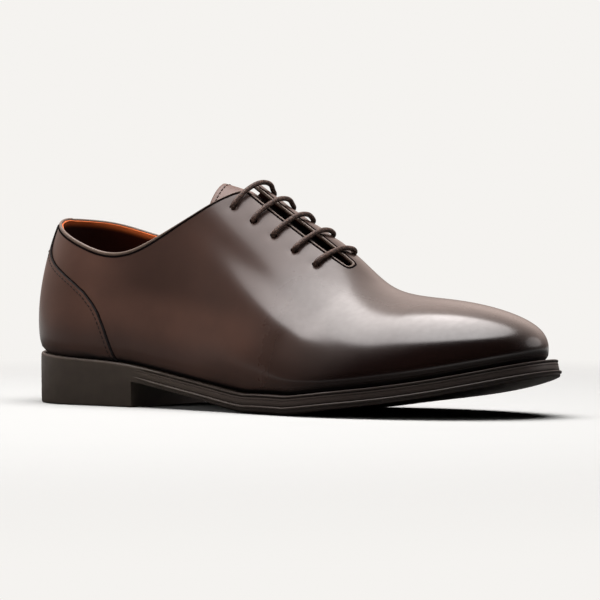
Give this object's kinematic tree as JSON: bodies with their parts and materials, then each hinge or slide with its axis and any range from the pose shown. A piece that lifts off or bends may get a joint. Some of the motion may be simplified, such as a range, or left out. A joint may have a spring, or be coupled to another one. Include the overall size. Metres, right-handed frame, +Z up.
{
  "type": "oxford shoe",
  "caption": "Closed-lacing leather dress shoe for the right foot: wholecut hollow upper with heel counter, laced throat, tongue, welted sole with ribbed edge and block heel.",
  "frame": {"origin": "on the floor, under the middle of the shoe's bounding box", "axes": "+X from heel to toe, +Y to the inner (medial) side of the foot, +Z up"},
  "size_m": [0.3068, 0.1044, 0.1162],
  "materials": {
    "upper_leather": "dark brown calf leather, polished and burnished darker at the toe",
    "lining": "tan lining leather, matt",
    "sole": "dark brown, satin edge",
    "lace": "round waxed cord, brown"
  },
  "bodies": {
    "root": {"upper": "upper_leather", "heel_counter": "upper_leather", "tongue": "upper_leather", "insole": "lining", "welt": "sole", "outsole": "sole", "heel": "sole", "lace_bar_1": "lace", "lace_bar_2": "lace", "lace_bar_3": "lace", "lace_bar_4": "lace", "lace_bar_5": "lace"}
  },
  "joints": []
}
